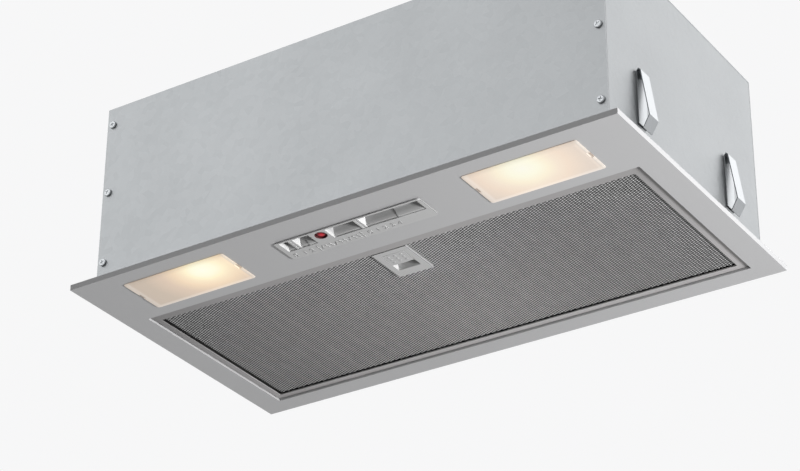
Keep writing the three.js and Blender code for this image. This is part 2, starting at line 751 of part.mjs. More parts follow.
// Slider: grooved knob that follows the slot's floor, and a stem whose head keeps it in the slit.
function slider() {
  const crest = bezelFace + knobRecess;
  const foot = bezelFace + slotFloor[0];
  const half = knobCrest / 2;
  const groove = 0.5;
  const wedge = alongY([
    [-knobBase / 2, foot], [-half, crest], [-groove, crest], [0, crest + groove],
    [groove, crest], [half, crest], [knobBase / 2, foot],
  ], slotFront, slotRear);
  const knob = wedge.intersect(slotRoom(-knobBase, knobBase, slotFloor, seat));
  const stem = slab(stemSize, stemSize, foot - 2 * seat, floorZ + stemHeight, 0, stemY);
  const head = slab(stemSize, stemSize + 2 * headOverhang, headZ, headZ + headThickness, 0, stemY);
  return joined([knob, stem, head]);
}

function switchBase() {
  const width = bezelWidth + 2 * baseMargin;
  const depth = bezelDepth + 2 * baseWall;
  const box = slab(width, depth, sheet + seat, floorZ + baseFloor);
  const hollow = slab(width - 2 * baseWall, depth - 2 * baseWall, 0, floorZ);
  const stemRoom = (x, [from, to]) => block([x + from - stemReach, stemY - stemReach, 0],
    [x + to + stemReach, stemY + stemReach, 2 * switchZ]);
  const lampHole = rod(indicatorRadius + seat, 0, 2 * switchZ, 16).translate([lensX, lensY, 0]);
  return cut(box, [hollow, stemRoom(lightKnobX, lightTravel), stemRoom(speedKnobX, speedTravel), lampHole]);
}

function switchBody(x, [from, to]) {
  const halfDepth = stemReach + switchWall;
  const box = block([x + from - stemReach - switchWall, stemY - halfDepth, switchZ],
    [x + to + stemReach + switchWall, stemY + halfDepth, switchZ + switchHeight]);
  const channel = block([x + from - stemReach, stemY - stemReach, 0],
    [x + to + stemReach, stemY + stemReach, floorZ + stemHeight + seat]);
  const terminals = [0, 1, 2].map((i) => {
    const place = x + from + ((i + 0.5) * (to - from)) / 3;
    return block([place - 0.4, stemY - 2.4, switchZ + 1], [place + 0.4, stemY + 2.4, switchZ + switchHeight + 6]);
  });
  return joined([box, ...terminals].map((solid) => cut(solid, [channel])));
}

function indicatorLens() {
  const dome = [[0, 0], [0.5, 0.2], [0.85, 0.7], [1, 1.4]];
  const profile = dome.map(([r, z]) => [r * lensRadius, bezelFace + lensRecess + z]);
  return turned([...profile, [lensRadius, bezelTop - seat], [0, bezelTop - seat]], 24);
}

function indicatorLamp() {
  const profile = [[0, 0.2], [2, 0.8], [indicatorRadius, 2], [indicatorRadius, 12], [0, 12]];
  return turned(profile.map(([r, z]) => [r, floorZ + z]), 16);
}

part(switches, 'switch_bezel', switchBezel(), trimGrey);
part(subgroup(switches, lightKnobX, 0, 0), 'light_slider', slider(), trimGrey);
part(subgroup(switches, speedKnobX, 0, 0), 'speed_slider', slider(), trimGrey);
part(switches, 'switch_base', switchBase(), blackPlastic);
part(switches, 'light_switch', switchBody(lightKnobX, lightTravel), switchPlastic);
part(switches, 'speed_switch', switchBody(speedKnobX, speedTravel), switchPlastic);
part(subgroup(switches, lensX, lensY, 0), 'indicator_lens', indicatorLens(), redLens);
part(subgroup(switches, lensX, lensY, 0), 'indicator_lamp', indicatorLamp(), glass);

// ---------------------------------------------------------------- blower
// Fan coordinates: origin on the shaft, midway between the two inlets; the shaft lies on X.
const fan = subgroup(hood, 0, fanY, fanZ);
const scrollTop = bodyHeight - sheet - seat - fanZ;
const hubReach = 10;
const bracketGap = scrollWidth / 2 + scrollWall + rubberLength + 2 * seat;

// Scroll radius, growing evenly from the cut-off round to the outlet.
function scrollRadius(angle) {
  return impellerRadius + tongueGap + (scrollGrowth * (angle - scrollStart)) / (2 * Math.PI - scrollStart);
}

// Outline of the scroll and its outlet in (y, z), grown outward by the wall.
function volute(wall, top) {
  const front = mouthFront - wall;
  const first = Math.acos(front / (scrollRadius(scrollStart) + wall));
  const steps = 28;
  const points = [];
  for (let i = 0; i <= steps; i += 1) {
    const angle = first + ((2 * Math.PI - first) * i) / steps;
    const radius = scrollRadius(angle) + wall;
    points.push([radius * Math.cos(angle), radius * Math.sin(angle)]);
  }
  const rear = scrollRadius(2 * Math.PI) + wall;
  return [...points, [rear, top], [front, top]];
}

function scrollHalf(side) {
  const half = scrollWidth / 2;
  const span = (a, b) => (side > 0 ? [a, b] : [-b, -a]);
  const outer = alongX(volute(scrollWall, scrollTop), ...span(seat / 2, half + scrollWall));
  const inner = alongX(volute(0, scrollTop + 1), ...span(-1, half));
  const flangeFront = outletY - fanY - mouthFlange / 2;
  const flange = block([side * (seat / 2), flangeFront, scrollTop - scrollWall],
    [side * (mouthFlange / 2), flangeFront + mouthFlange, scrollTop]);
  const lip = turned([[eyeRadius, -scrollWall], [eyeRadius + scrollWall, -scrollWall],
    [eyeRadius + scrollWall, 0.4 * eyeLip], [eyeRadius + eyeLip, eyeLip],
    [eyeRadius + eyeLip - 1, eyeLip], [eyeRadius + 0.4, 0.6 * eyeLip], [eyeRadius, 0]], 36);
  const eyeRim = layOnX(lip).mirror([side > 0 ? 0 : 1, 0, 0]);
  const rim = eyeRim.translate([side * (half + scrollWall), 0, 0]);
  const eye = rodX(eyeRadius, ...span(half - 2, half + 2 * scrollWall), 0, 0, 36);
  return joined([cut(outer.add(flange), [inner, eye]), side > 0 ? rim : rim.subtract(rubberRoom())]);
}

// Clear stations on the left inlet lip for the three rubber mounts.
function rubberRoom() {
  const rooms = [0, 1, 2].map((i) => {
    const angle = Math.PI / 2 + (i * 2 * Math.PI) / 3;
    return rodX(rubberRadius + seat, -scrollWidth, -scrollWidth / 2 - scrollWall,
      mountCircle * Math.cos(angle), mountCircle * Math.sin(angle), 20);
  });
  return joined(rooms);
}

// The wheel is a middle disc on its hub, with a cage of forward-curved blades on each side.
function impellerDisc() {
  const half = impellerSheet / 2;
  const disc = rodX(impellerRadius, -half, half, 0, 0, 36);
  const hub = layOnX(turned([[0, -6], [9, -6], [11, -half], [11, half], [9, hubReach], [0, hubReach]], 24));
  return cut(disc.add(hub), [rodX(shaftRadius + seat, -impellerWidth, impellerWidth, 0, 0, 16)]);
}

// Cage on the right of the disc: blades between the ring that seats on it and the outer ring.
function bladeCage() {
  const inner = impellerRadius - bladeDepth;
  const low = impellerSheet / 2 + seat;
  const high = impellerWidth / 2;
  const lead = 0.16;
  const blades = [];
  for (let i = 0; i < bladeCount; i += 1) {
    const start = (2 * Math.PI * i) / bladeCount;
    const line = [0, 0.5, 1].map((t) => {
      const radius = inner + 0.6 + (bladeDepth - 1.2) * t;
      const angle = start + lead * t * t;
      return [radius * Math.cos(angle), radius * Math.sin(angle)];
    });
    blades.push(alongX(strip(line, 1), low + seat, high - seat));
  }
  const ring = (x) => layOnX(turned([[inner, x], [impellerRadius, x],
    [impellerRadius, x + impellerSheet], [inner, x + impellerSheet]], 36));
  return joined([...blades, ring(low), ring(high - impellerSheet)]);
}

function motorCan() {
  const rear = -bracketGap + seat;
  const front = rear + motorLength * 0.72;
  const can = layOnX(turned([[0, rear], [0.8 * motorRadius, rear], [0.95 * motorRadius, rear + 3],
    [motorRadius, rear + 8], [motorRadius, front], [0, front]], 36));
  return can.subtract(rodX(shaftRadius + seat, rear - 1, front + 1, 0, 0, 16));
}

function motorCap() {
  const rear = -bracketGap + 2 * seat + motorLength * 0.72;
  const front = rear + motorLength * 0.25;
  const cap = layOnX(turned([[0, rear], [motorRadius, rear], [motorRadius, front - 5],
    [0.85 * motorRadius, front], [0, front]], 36));
  const vents = [0, 1, 2, 3, 4, 5, 6, 7].map((i) => block([front - 3, 0.45 * motorRadius, -2],
    [front + 1, 0.75 * motorRadius, 2]).rotate([i * 45, 0, 0]));
  return cut(cap, [...vents, rodX(shaftRadius + seat, rear - 1, front + 1, 0, 0, 16)]);
}

function motorBracket() {
  const rear = -bracketGap - 2;
  const arms = [0, 1, 2].map((i) => {
    const arm = block([rear, 0, -rubberRadius], [-bracketGap, mountCircle, rubberRadius]);
    return arm.add(rodX(rubberRadius + 1, rear, -bracketGap, mountCircle)).rotate([90 + i * 120, 0, 0]);
  });
  const hub = rodX(0.6 * motorRadius, rear, -bracketGap);
  return cut(joined([hub, ...arms]), [rodX(shaftRadius + 4, 2 * rear, 0, 0, 0, 20)]);
}

function rubberMount() {
  const half = rubberLength / 2;
  return layOnX(turned([[0, -half], [rubberRadius, -half], [rubberRadius, -half + 1], [0.75 * rubberRadius, 0],
    [rubberRadius, half - 1], [rubberRadius, half], [0, half]], 20));
}

part(fan, 'scroll_half_left', scrollHalf(-1), blackPlastic);
part(fan, 'scroll_half_right', scrollHalf(1), blackPlastic);
part(fan, 'impeller_disc', impellerDisc(), blackPlastic);
part(fan, 'impeller_cage_left', bladeCage().mirror([1, 0, 0]), blackPlastic);
part(fan, 'impeller_cage_right', bladeCage(), blackPlastic);
part(fan, 'motor_can', motorCan(), steel);
part(fan, 'motor_end_cap', motorCap(), aluminium);
part(fan, 'motor_shaft', rodX(shaftRadius, -bracketGap - 4, hubReach + 7, 0, 0, 16), steel);
part(fan, 'impeller_nut', rodX(7, hubReach + seat, hubReach + 6, 0, 0, 6)
  .subtract(rodX(shaftRadius + seat, 0, 2 * hubReach, 0, 0, 16)), steel);
part(fan, 'motor_bracket', motorBracket(), galvanised);
for (const [name, i] of [['top', 0], ['front', 1], ['rear', 2]]) {
  const angle = Math.PI / 2 + (i * 2 * Math.PI) / 3;
  const x = -(scrollWidth / 2 + scrollWall + seat + rubberLength / 2);
  const place = subgroup(fan, x, mountCircle * Math.cos(angle), mountCircle * Math.sin(angle));
  part(place, `rubber_mount_${name}`, rubberMount(), rubber);
}

// ---------------------------------------------------------------- outlet
// Outlet coordinates: origin on the collar's axis, on the top of the body.
const outlet = subgroup(hood, 0, outletY, bodyHeight);
const pinZ = seat + stopHeight + collarWall + seat + flapThickness / 2;

function outletCollar() {
  const flangeRadius = collarFlange / 2;
  const stopRadius = ductBore - stopWidth;
  const tube = turned([
    [ductBore, seat], [flangeRadius, seat], [flangeRadius, seat + collarWall], [ductRadius, seat + collarWall],
    [ductRadius, collarHeight - 1], [ductRadius - 0.8, collarHeight], [ductBore, collarHeight],
    [ductBore, seat + stopHeight + collarWall], [stopRadius, seat + stopHeight + collarWall],
    [stopRadius, seat + stopHeight], [ductBore, seat + stopHeight],
  ], 40);
  return tube.subtract(rodX(pinRadius + seat, -ductDiameter, ductDiameter, 0, pinZ, 12));
}

// Half-disc flap with two knuckles. The other flap is the same piece turned round.
function damperFlap() {
  const half = flapThickness / 2;
  const disc = rod(ductBore - flapClearance, -half, half, 48);
  const plate = disc.intersect(block([-ductRadius, knuckleRadius + 0.4, -1], [ductRadius, ductRadius, 1]));
  const knuckles = [-32, 16].map((x) => rodX(knuckleRadius, x - 7.5, x + 7.5, 0, 0, 16)
    .add(block([x - 7.5, 0, -half], [x + 7.5, knuckleRadius + 2, half])));
  return cut(joined([plate, ...knuckles]), [rodX(pinRadius + seat, -ductRadius, ductRadius, 0, 0, 12)]);
}

part(outlet, 'outlet_collar', outletCollar(), blackPlastic);
part(outlet, 'damper_pin', rodX(pinRadius, -ductRadius + seat, ductRadius - seat, 0, pinZ, 12), steel);
for (const [name, turn] of [['rear', 0], ['front', Math.PI]]) {
  const place = subgroup(outlet, 0, 0, pinZ);
  place.rotation.z = turn;
  part(place, `damper_flap_${name}`, damperFlap(), blackPlastic);
}

// ---------------------------------------------------------------- electrical parts
function terminalBox() {
  const top = bodyHeight - sheet - seat;
  const shell = slab(terminalWidth, terminalDepth, top - terminalHeight, top);
  const hollow = slab(terminalWidth - 2 * terminalWall, terminalDepth - 2 * terminalWall,
    top - 2 * terminalHeight, top - terminalWall);
  return cut(shell, [hollow, rod(glandRadius + seat, top - 2 * terminalWall, top + terminalWall)]);
}

function terminalLid() {
  const top = bodyHeight - sheet - 2 * seat - terminalHeight;
  return slab(terminalWidth, terminalDepth, top - terminalWall, top);
}

function cableGland() {
  const top = bodyHeight + seat;
  const stemLow = bodyHeight - sheet - seat - 2 * terminalWall;
  const flangeRadius = glandRadius + glandFlange;
  const capRadius = glandRadius - glandFlange / 2;
  return turned([
    [glandBore, stemLow], [glandRadius, stemLow], [glandRadius, top], [flangeRadius, top],
    [flangeRadius, top + glandHeight / 4], [capRadius + 1, top + glandHeight / 2],
    [capRadius, top + glandHeight], [glandBore, top + glandHeight],
  ], 24);
}

const capacitorZ = bayHeight + sheet + seat + capacitorRadius;
const capacitorY = (bayWallY - hd) / 2;

function capacitorClip() {
  const half = sheet / 2;
  const radius = capacitorRadius + seat + half;
  const footZ = -capacitorRadius + half;
  const arc = [];
  for (let i = 0; i <= 12; i += 1) {
    const angle = (7 / 6) * Math.PI - (i * (4 / 3) * Math.PI) / 12;
    arc.push([radius * Math.cos(angle), radius * Math.sin(angle)]);
  }
  const foot = radius + capacitorFoot;
  const neck = arc[0][0];
  const line = [[-foot, footZ], [neck, footZ], ...arc, [-neck, footZ], [foot, footZ]];
  return alongX(strip(line, sheet), -capacitorClipWidth / 2, capacitorClipWidth / 2);
}

const electrics = subgroup(hood, terminalX, terminalY, 0);
part(electrics, 'terminal_box', terminalBox(), blackPlastic);
part(electrics, 'terminal_lid', terminalLid(), blackPlastic);
part(electrics, 'cable_gland', cableGland(), blackPlastic);
const bay = subgroup(hood, capacitorX, capacitorY, capacitorZ);
part(bay, 'capacitor', rodX(capacitorRadius, -capacitorLength / 2, capacitorLength / 2, 0, 0, 28), switchPlastic);
part(bay, 'capacitor_clip', capacitorClip(), steel);

export default hood;
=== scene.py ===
"""Looks of a built-in range hood: finishes, expanded filter mesh, marks, screws and lamps."""

import math

import bpy
from mathutils import Matrix, Vector


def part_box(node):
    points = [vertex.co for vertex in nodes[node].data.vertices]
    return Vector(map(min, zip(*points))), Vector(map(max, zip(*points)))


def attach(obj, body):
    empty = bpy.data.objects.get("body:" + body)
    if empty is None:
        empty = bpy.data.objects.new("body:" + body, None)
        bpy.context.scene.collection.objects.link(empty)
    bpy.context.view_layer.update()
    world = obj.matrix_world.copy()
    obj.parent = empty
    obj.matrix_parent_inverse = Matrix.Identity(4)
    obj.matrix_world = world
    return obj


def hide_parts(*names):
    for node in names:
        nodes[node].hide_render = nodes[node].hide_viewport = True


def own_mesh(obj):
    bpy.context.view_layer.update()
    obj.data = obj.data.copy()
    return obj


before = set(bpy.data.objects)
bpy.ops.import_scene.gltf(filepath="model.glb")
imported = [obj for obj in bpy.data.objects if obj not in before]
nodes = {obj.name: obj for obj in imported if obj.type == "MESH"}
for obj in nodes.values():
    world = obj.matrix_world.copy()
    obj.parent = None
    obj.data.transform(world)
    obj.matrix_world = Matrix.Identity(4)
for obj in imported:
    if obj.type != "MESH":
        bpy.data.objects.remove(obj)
bpy.ops.object.select_all(action="DESELECT")
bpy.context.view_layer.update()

MM = 0.001

# ---------------------------------------------------------------- camera
CAMERA_PLACE = Vector((0.9810, -1.5327, -0.9791))
CAMERA_HEADING, CAMERA_TILT, CAMERA_ROLL = 33.286, 29.193, 0.439  # degrees
CAMERA_LENS, SENSOR_WIDTH = 112.17, 36  # mm
CLIP_NEAR, CLIP_FAR = 0.01, 50


def camera_axes(heading, tilt, roll):
    """Side, top and back of a camera that looks along +Y, turned left, tilted up and rolled."""
    turn, lift, spin = (math.radians(angle) for angle in (heading, tilt, roll))
    forward = Vector((-math.sin(turn) * math.cos(lift), math.cos(turn) * math.cos(lift),
                      math.sin(lift)))
    level = Vector((math.cos(turn), math.sin(turn), 0))
    upward = level.cross(forward)
    side = level * math.cos(spin) + upward * math.sin(spin)
    top = upward * math.cos(spin) - level * math.sin(spin)
    return Matrix((side, top, -forward)).transposed()


def make_camera():
    data = bpy.data.cameras.new("viewpoint")
    data.lens = CAMERA_LENS
    data.sensor_width = SENSOR_WIDTH
    data.clip_start, data.clip_end = CLIP_NEAR, CLIP_FAR
    camera = bpy.data.objects.new("viewpoint", data)
    bpy.context.scene.collection.objects.link(camera)
    camera.matrix_world = Matrix.Translation(CAMERA_PLACE) @ camera_axes(
        CAMERA_HEADING, CAMERA_TILT, CAMERA_ROLL).to_4x4()
    bpy.context.scene.camera = camera


make_camera()
bpy.context.scene.view_settings.view_transform = "Standard"


# ---------------------------------------------------------------- shader maths
class Value:
    """A socket's value. Arithmetic on it adds Math nodes to its graph."""

    def __init__(self, graph, socket):
        self.graph = graph
        self.socket = socket

    def maths(self, operation, first, second):
        return self.graph.node("ShaderNodeMath", {"operation": operation}, first, second)

    def __add__(self, other):
        return self.maths("ADD", self, other)

    def __radd__(self, other):
        return self.maths("ADD", other, self)

    def __sub__(self, other):
        return self.maths("SUBTRACT", self, other)

    def __mul__(self, other):
        return self.maths("MULTIPLY", self, other)

    def __truediv__(self, other):
        return self.maths("DIVIDE", self, other)

    def __pow__(self, other):
        return self.maths("POWER", self, other)

    def larger(self, other):
        return self.maths("MAXIMUM", self, other)

    def swing(self, amount):
        """A noise's rise and fall about its middle."""
        return (self - 0.5) * amount

    def clamped(self):
        return self.maths("MINIMUM", self.larger(0.0), 1.0)

    def between(self, none, full):
        """0 up to none, 1 from full on and even between, whichever of the two is larger."""
        return ((self - none) / (full - none)).clamped()

    def near(self, edge, none, full):
        """1 up to full mm past an edge and 0 from none mm on. Below zero, before the edge."""
        return self.between(edge + none * MM, edge + full * MM)


class Graph:
    """The node tree of one finish, the floor or the world."""

    def __init__(self, tree):
        self.tree = tree
        tree.nodes.clear()

    def node(self, kind, settings=None, *values, output=0, **named):
        """Adds a node: its settings first, then its sockets in order or by name."""
        made = self.tree.nodes.new(kind)
        for key, setting in (settings or {}).items():
            setattr(made, key, setting)
        sockets = [socket for socket in made.inputs if socket.enabled]
        for socket, value in zip(sockets, values):
            self.feed(socket, value)
        for name, value in named.items():
            wanted = name.replace("_", " ").title()
            self.feed(next(s for s in sockets if s.name.title() == wanted), value)
        outputs = [socket for socket in made.outputs if socket.enabled]
        if not outputs:
            return made
        if isinstance(output, str):
            return Value(self, next(s for s in outputs if s.name == output))
        return Value(self, outputs[output])

    def feed(self, socket, value):
        if isinstance(value, Value):
            self.tree.links.new(value.socket, socket)
        elif isinstance(value, tuple) and len(value) < len(socket.default_value):
            socket.default_value = (*value, 1.0)
        else:
            socket.default_value = value

    # the parts that the finishes share
    def axes(self, names):
        """Object coordinates along each named axis."""
        coordinates = self.node("ShaderNodeTexCoord", output="Object")
        return [self.node("ShaderNodeSeparateXYZ", None, coordinates, output=name)
                for name in names]

    def place(self, stretch=(1, 1, 1), turn=(0, 0, 0)):
        coordinates = self.node("ShaderNodeTexCoord", output="Object")
        return self.node("ShaderNodeMapping", vector=coordinates, rotation=turn, scale=stretch)

    def noise(self, scale, detail=2.0, stretch=(1, 1, 1)):
        return self.node("ShaderNodeTexNoise", vector=self.place(stretch), scale=scale,
                         detail=detail)

    def ramp(self, value, stops):
        """The colour for a value from 0 to 1, by (place, colour) stops."""
        colour = self.node("ShaderNodeValToRGB", None, value)
        ramp = colour.socket.node.color_ramp
        while len(ramp.elements) < len(stops):
            ramp.elements.new(1.0)
        for element, (place, tone) in zip(ramp.elements, stops):
            element.position = place
            element.color = (*tone, 1.0)
        return colour

    def blend(self, factor, first, second, mode="MIX"):
        return self.node("ShaderNodeMix", {"data_type": "RGBA", "blend_type": mode},
                         factor, first, second)

    def bump(self, height, depth, strength):
        """Relief of a depth in mm."""
        return self.node("ShaderNodeBump", strength=strength, distance=depth * MM, height=height)


def distance(across, along):
    return (across * across + along * along) ** 0.5


def srgb(code):
    """Linear colour of a six-digit screen colour."""
    def linear(level):
        return level / 12.92 if level <= 0.04045 else ((level + 0.055) / 1.055) ** 2.4
    return tuple(linear(int(code[i:i + 2], 16) / 255) for i in (0, 2, 4))


def greys(profile):
    """Ramp stops of (place, level) pairs."""
    return [(place, (level,) * 3) for place, level in profile]


def finish(name, build, **plain):
    """A material: build(graph) gives the varying sockets, and plain the even ones."""
    material = bpy.data.materials.new(name)
    material.use_nodes = True
    graph = Graph(material.node_tree)
    surface = material.node_tree.nodes.new("ShaderNodeBsdfPrincipled")
    for source in (plain, build(graph)):
        for key, value in source.items():
            wanted = key.replace("_", " ").lower()
            graph.feed(next(s for s in surface.inputs if s.name.lower() == wanted), value)
    graph.node("ShaderNodeOutputMaterial", None, Value(graph, surface.outputs[0]))
    return material


# ---------------------------------------------------------------- paint and sheet metal
FLAKE_SCALE = 5200
FRAME_SHADE_TONES = ((0.0, 0.54), (0.16, 0.77), (0.5, 0.9), (0.72, 0.88), (0.95, 0.78), (0.98, 0.78),
               (1.0, 0.63))  # painted shade: the level along the filter frame, from its left end to its right
FRAME_SHADE_REAR_GAIN = 0.37  # how much the frame's level rises from front to rear, the painted shade being deepest at the front
FRAME_HEADROOM = 1.25  # the highest level


def orange_peel(graph):
    return graph.bump(graph.noise(620, detail=1.5), depth=0.03, strength=0.5)


def paint_look(graph):
    """Metallic paint on sheet steel: faint flake, slow drift of tone and orange peel."""
    flake = graph.noise(FLAKE_SCALE, detail=1.0)
    drift = graph.noise(6)
    tone = flake.swing(0.16) + drift.swing(0.10) + 0.5
    return {"base_color": graph.blend(tone.clamped(), srgb("A2A2A3"), srgb("B9B9BA")),
            "roughness": 0.40 + graph.noise(40) * 0.10, "normal": orange_peel(graph)}


def frame_shade_and_paint_look(graph):
    """The filter frame's paint, warmer, with painted shade: darker at its left end, by its right
    lip and towards its front.
    """
    low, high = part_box("filter_frame")
    x, y = graph.axes("XY")
    # painted shade: the frame is darker towards its ends and its front
    across = graph.ramp((x - low[0]) / (high[0] - low[0]), greys(FRAME_SHADE_TONES))
    tone = across + (y - low[1]) * (FRAME_SHADE_REAR_GAIN / (high[1] - low[1]))
    flake = graph.noise(FLAKE_SCALE, detail=1.0)
    marks = graph.noise(22, detail=4.0)
    level = (tone + flake.swing(0.05) + marks.swing(0.1)) / FRAME_HEADROOM
    brightest = tuple(FRAME_HEADROOM * part for part in srgb("A2A0A0"))
    return {"base_color": graph.blend(level.clamped(), (0.0, 0.0, 0.0), brightest),
            "roughness": 0.42 + marks * 0.12, "normal": orange_peel(graph)}


def galvanised_look(graph):
    """Zinc spangle: angular grains, each with its own tone and gloss, and faint rolling lines."""
    grain = graph.node("ShaderNodeTexVoronoi", output="Color", vector=graph.place(), scale=150)
    shade = graph.node("ShaderNodeSeparateColor", None, grain)
    warp = graph.noise(14, detail=3.0)
    tone = shade * 0.5 + warp * 0.5
    lines = graph.noise(9, detail=4.0, stretch=(3, 160, 160))
    return {"base_color": graph.blend(tone.clamped(), srgb("929597"), srgb("A8ABAD")),
            "roughness": 0.38 + shade * 0.08 + lines * 0.06,
            "normal": graph.bump(lines, depth=0.02, strength=0.4)}


def bright_steel_look(graph):
    """Drawn steel: streaks along the piece and a few dull patches."""
    streak = graph.noise(40, detail=3.0, stretch=(1, 30, 30))
    patch = graph.noise(35, detail=3.0)
    tone = streak * 0.6 + patch * 0.4
    return {"base_color": graph.blend(tone.clamped(), srgb("8B8E91"), srgb("BCBFC1")),
            "roughness": 0.26 + patch * 0.18,
            "normal": graph.bump(streak, depth=0.02, strength=0.4)}


# ---------------------------------------------------------------- filter metal
LATTICE_SLANT, LATTICE_SCALE = math.radians(40), 125
LATTICE_EDGE = (0.5, 0.72)  # heights of the wave where an opening ends and a strand is full


def strand_look(dark, pale, profile):
    """Bare aluminium mesh, dulled unevenly, with painted light and shade along the filter in a
    profile.
    """
    def build(graph):
        low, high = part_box("filter_face_mesh")
        x, = graph.axes("X")
        level = graph.ramp((x - low[0]) / (high[0] - low[0]), greys(profile))
        dull = graph.noise(60, detail=3.0)
        speck = graph.noise(2600, detail=1.0)
        bare = graph.blend((dull * 0.6 + speck * 0.4).clamped(), srgb(dark), srgb(pale))
        return {"base_color": graph.blend(1.0, bare, level, mode="MULTIPLY"),
                "roughness": 0.42 + dull * 0.16,
                "normal": graph.bump(speck, depth=0.02, strength=0.5)}
    return build


def lattice_look(graph):
    """Mesh seen from above the filter: pale strands, slanted, round openings painted dark as shade.
    """
    slant = graph.place(turn=(0, 0, LATTICE_SLANT))
    first, second = (
        graph.node("ShaderNodeTexWave", {"wave_type": "BANDS", "bands_direction": direction},
                   vector=slant, scale=LATTICE_SCALE, output=1)
        for direction in ("X", "Y"))
    solid = first.larger(second).between(*LATTICE_EDGE)
    return {"base_color": graph.blend(solid, srgb("1A1A1B"), srgb("A6A7A8")), "roughness": 0.5,
            "normal": graph.bump(solid, depth=0.3, strength=0.8)}


def foil_look(graph):
    """Crimped layers, painted dark as the shade inside the filter, and dulled by use."""
    dust = graph.noise(30, detail=4.0)
    fine = graph.noise(1400, detail=1.0)
    tone = dust * 0.5 + fine * 0.5
    return {"base_color": graph.blend(tone.clamped(), srgb("191919"), srgb("2D2D2D")),
            "roughness": 0.55 + fine * 0.1, "normal": graph.bump(fine, depth=0.1, strength=0.7)}


# ---------------------------------------------------------------- mouldings and castings
TRIM_TONES = ("B1B1B1", "BABABA")
END_SHADE_RIM = (0.7, 0.3)  # mm from an end wall's face: where its painted shade starts and is full
RECESS_SHADE_DEPTH = (-5.6 * MM, -3.4 * MM)  # heights in the slots: no painted shade at the first, full at the last
WELL_SHADE_RIM = (0.9, 0.4)  # mm round the lens: where the painted shade of its well starts and is full


def plastic_look(dark, pale, grain=1500, depth=0.02, rough=0.42):
    """Moulded plastic with a fine spark-eroded grain."""
    def build(graph):
        skin = graph.noise(grain)
        drift = graph.noise(18)
        tone = drift * 0.7 + skin * 0.3
        return {"base_color": graph.blend(tone.clamped(), srgb(dark), srgb(pale)),
                "roughness": rough + skin * 0.12, "normal": graph.bump(skin, depth, strength=0.6)}
    return build


def skin_look(dark, pale, scale, detail, rough, spread, depth, strength, grain=None):
    """One noise gives tone and roughness. The relief follows it, or a finer grain."""
    def build(graph):
        skin = graph.noise(scale, detail)
        relief = graph.noise(grain) if grain else skin
        return {"base_color": graph.blend(skin, srgb(dark), srgb(pale)),
                "roughness": rough + skin * spread, "normal": graph.bump(relief, depth, strength)}
    return build


def shaded_end_walls(graph, colour, piece):
    """Painted shade that darkens a small moulding's left and right end walls."""
    low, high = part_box(piece)
    x, = graph.axes("X")
    none, full = END_SHADE_RIM
    ends = x.near(low[0], none, full) + x.near(high[0], -none, -full)
    return graph.blend(ends, colour, srgb("8F8F8F"))


def latch_look(graph):
    sockets = plastic_look(*TRIM_TONES)(graph)
    # painted shade on the latch housing's end walls
    sockets["base_color"] = shaded_end_walls(graph, sockets["base_color"], "latch_housing")
    return sockets


def from_lens(graph):
    """Distance from the middle of the indicator lens, and the lens's radius."""
    low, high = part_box("indicator_lens")
    x, y = graph.axes("XY")
    away = distance(x - (low[0] + high[0]) / 2, y - (low[1] + high[1]) / 2)
    return away, (high[0] - low[0]) / 2


def trim_look(graph):
    """Moulding round the slots, with painted shade where it is recessed, on its end walls and in
    the lens's well.
    """
    sockets = plastic_look(*TRIM_TONES)(graph)
    z, = graph.axes("Z")
    # painted shade, darker the deeper into the slots
    colour = graph.blend(z.between(*RECESS_SHADE_DEPTH), sockets["base_color"], srgb("949494"))
    # painted shade on the bezel's end walls
    colour = shaded_end_walls(graph, colour, "switch_bezel")
    away, radius = from_lens(graph)
    # painted shade in the lens's well
    sockets["base_color"] = graph.blend(away.near(radius, *WELL_SHADE_RIM), colour, srgb("44191D"))
    return sockets


# ---------------------------------------------------------------- lamps and lens
# The lens's painted glow and shade, from its middle out to its rim.
LENS_STOPS = [(place, srgb(code)) for place, code in (
    (0.0, "BE2C37"), (0.28, "AE2731"), (0.55, "7A1A22"), (0.8, "4A141A"), (0.95, "341216"))]
# Bands of painted light (left and rear) and painted shade (right and front) along a cover's edges,
# in mm from the edge: where each starts and where it is full.
LEFT_RIM, RIGHT_RIM, FRONT_RIM, REAR_RIM = (6.8, 4.6), (-2.8, -1.6), (4.4, 1.6), (-5.6, -2.4)
PRY_ROW = -104.0 * MM  # the row of the covers' pry notches
# where the pry notches' painted shade starts and is full
NOTCH_LEFT, NOTCH_RIGHT = (2.6, 2.0), (-1.8, -1.2)
NOTCH_FRONT, NOTCH_REAR = (-3.4, -2.6), (3.4, 2.6)
COVERS = {
    # tip: the bulb's tip in mm. pull: how fast the light falls off to its left and right.
    # shade: what the room's light already gives. tones: one at each distance in mm from the tip.
    "left": {"tip": (-143.7, -115.0), "pull": (1.0, 0.8), "shade": 0.275, "tones": (
        (0, "FFFFEE"), (9, "FFFDE4"), (14, "FFF4D5"), (20, "F8E6CA"), (27, "EED9C0"),
        (37, "DCC9B9"), (54, "CABDB1"), (76, "C6BAB0"))},
    "right": {"tip": (161.2, -115.0), "pull": (1.0, 1.0), "shade": 0.4, "tones": (
        (0, "FFFFF4"), (12, "FFFEEC"), (20, "FEF6E2"), (28, "F8EBDC"), (36, "F4E4D6"),
        (50, "E7DBD2"), (64, "E0D6CF"))},
}


